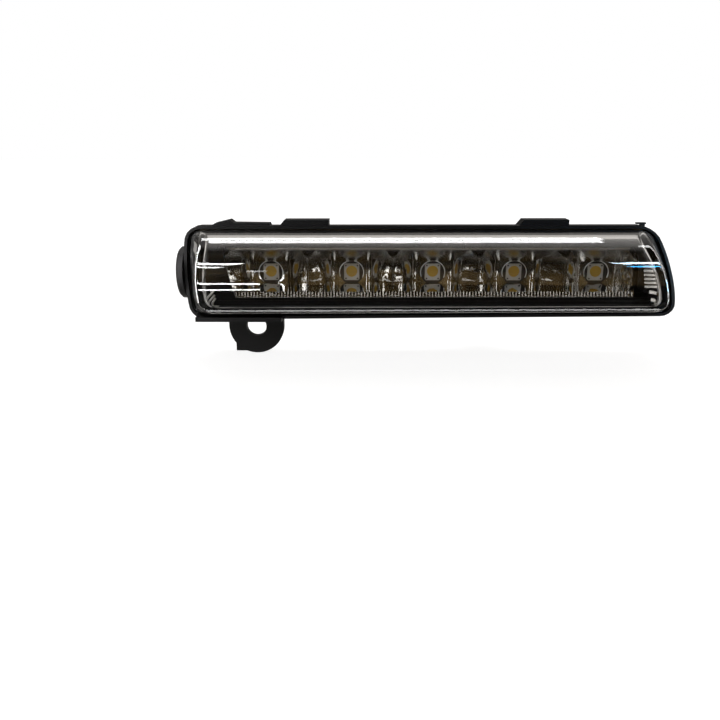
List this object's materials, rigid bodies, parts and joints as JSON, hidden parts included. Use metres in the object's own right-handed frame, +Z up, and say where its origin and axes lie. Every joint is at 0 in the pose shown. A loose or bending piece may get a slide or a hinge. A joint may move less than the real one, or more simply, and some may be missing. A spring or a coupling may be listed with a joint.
{
  "type": "daytime running light",
  "caption": "Slim LED daytime running light bar: clear wrap-round lens, chromed multi-cell reflector, black housing with a side plug, top lugs and a lower fixing eye.",
  "frame": {"origin": "centre of the fixing hole in the eye tab, midway through the tab's thickness", "axes": "+X along the lamp to the viewer's right, +Y backwards from the lens, +Z up"},
  "size_m": [0.1993, 0.0562, 0.0555],
  "materials": {
    "black_housing": "moulded black polypropylene, fine satin",
    "clear_lens": "clear moulded polycarbonate, polished",
    "sealant": "cured grey-black sealant",
    "black_bezel": "moulded black polycarbonate, polished",
    "mirror_coat": "vacuum-metallised plastic",
    "board_white": "white solder mask on a metal core",
    "led_body": "grey-white moulded LED package",
    "phosphor": "silicone with yellow phosphor",
    "thermal_pad": "soft silicone pad",
    "aluminium": "extruded and milled, bare",
    "board_green": "green solder mask",
    "chip_black": "moulded epoxy",
    "ferrite": "pressed ferrite",
    "can_metal": "drawn aluminium can",
    "pin_brass": "gold-flashed brass pins",
    "terminal_tin": "tinned brass blades",
    "membrane": "white porous film",
    "cap_rubber": "black moulded rubber",
    "seal_rubber": "black nitrile ring",
    "screw_steel": "zinc-plated steel"
  },
  "bodies": {
    "root": {"rear_housing": "black_housing", "lens": "clear_lens", "lens_seal": "sealant", "bezel": "black_bezel", "reflector": "mirror_coat", "led_board": "board_white", "thermal_pad": "thermal_pad", "heat_spreader": "aluminium", "driver_board": "board_green", "driver_chip": "chip_black", "inductor": "ferrite", "input_capacitor": "can_metal", "output_capacitor": "can_metal", "reverse_diode": "chip_black", "surge_suppressor": "chip_black", "sense_resistors": "chip_black", "link_header": "chip_black", "link_pins": "pin_brass", "terminal_1": "terminal_tin", "terminal_2": "terminal_tin", "vent_membrane": "membrane", "vent_cap": "cap_rubber", "end_cap": "cap_rubber", "end_cap_seal": "seal_rubber", "reflector_screws": "screw_steel", "spreader_screws": "screw_steel", "driver_screws": "screw_steel", "led_1": "led_body", "phosphor_1": "phosphor", "led_2": "led_body", "phosphor_2": "phosphor", "led_3": "led_body", "phosphor_3": "phosphor", "led_4": "led_body", "phosphor_4": "phosphor", "led_5": "led_body", "phosphor_5": "phosphor"}
  },
  "joints": []
}
